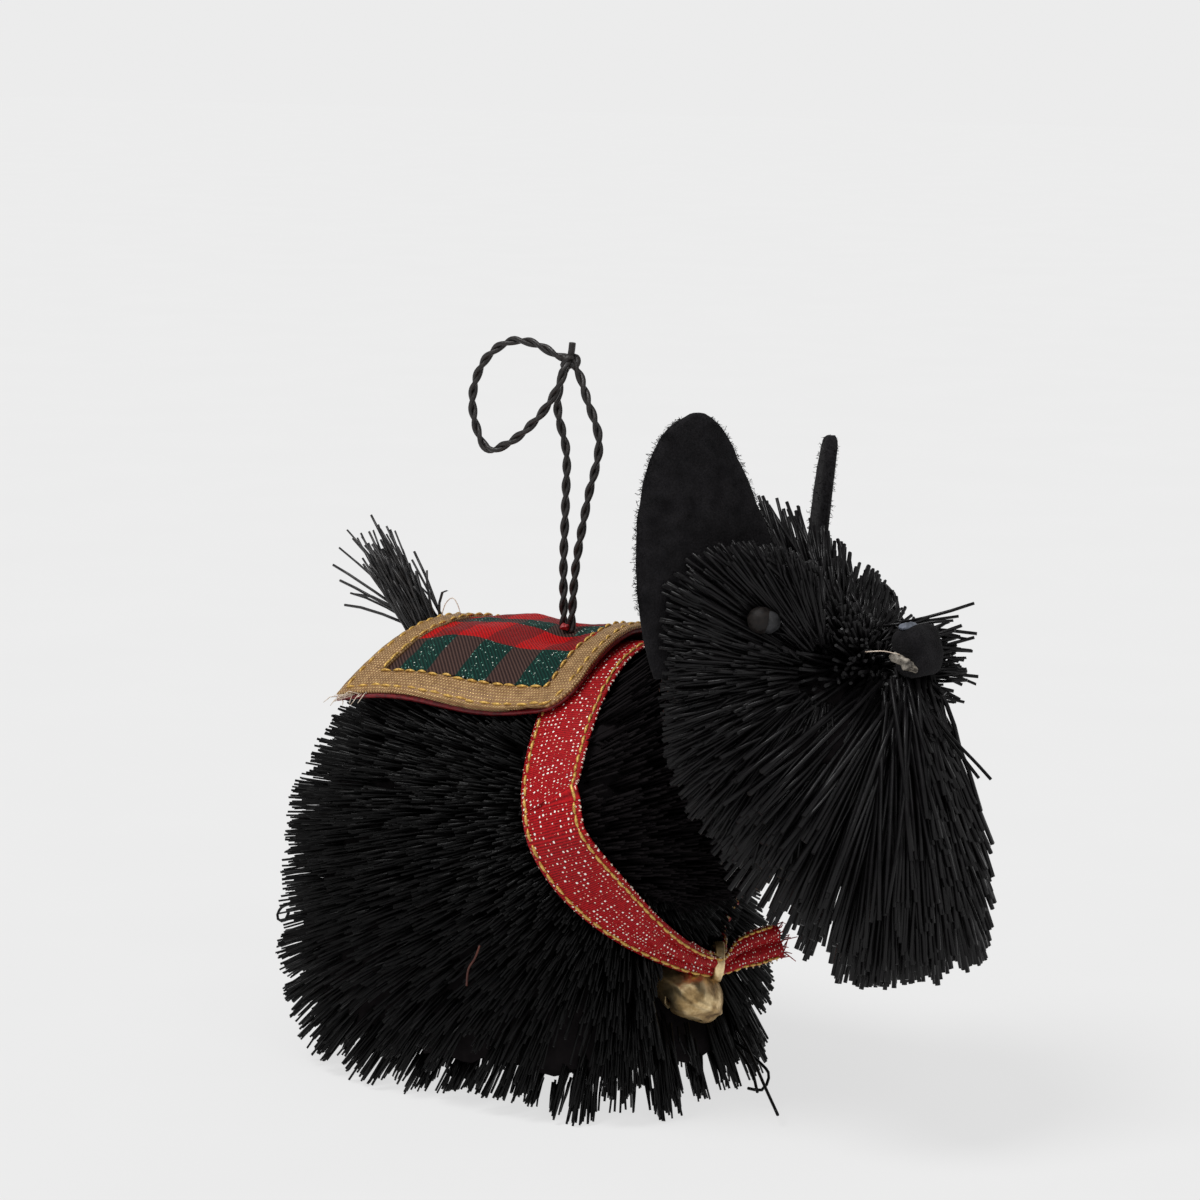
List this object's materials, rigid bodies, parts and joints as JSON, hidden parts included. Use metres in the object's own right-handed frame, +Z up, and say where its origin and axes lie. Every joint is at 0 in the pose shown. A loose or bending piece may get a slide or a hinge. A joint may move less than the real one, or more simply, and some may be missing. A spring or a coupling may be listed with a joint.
{
  "type": "bristle dog ornament",
  "caption": "Standing black bristle terrier with felt ears, plaid saddle blanket, red ribbon collar, small brass bell and a stiff hanging loop.",
  "frame": {"origin": "centre of the footprint, on the surface that the ornament stands on", "axes": "+X the way the dog faces, +Y its left side, +Z up"},
  "size_m": [0.1153, 0.0578, 0.113],
  "materials": {
    "bristle": "glossy black fibre, cut ends",
    "felt": "matte black felt",
    "bead": "dull brown-black bead",
    "plaid": "red, green and black woven plaid",
    "gold_mesh": "champagne gold mesh ribbon",
    "lining": "dark red satin",
    "red_ribbon": "red weave with gold glints",
    "brass": "dull antique brass",
    "cord": "glossy waxed two-ply cord"
  },
  "bodies": {
    "root": {"body": "bristle", "head": "bristle", "tail": "bristle", "ear_right": "felt", "ear_left": "felt", "eye_right": "bead", "eye_left": "bead", "nose": "felt", "blanket_cover": "plaid", "blanket_trim": "gold_mesh", "blanket_lining": "lining", "collar_ribbon": "red_ribbon", "bell": "brass", "hanger_leg_rear": "cord", "hanger_leg_front": "cord", "hanger_loop": "cord", "hanger_knot": "cord"}
  },
  "joints": []
}
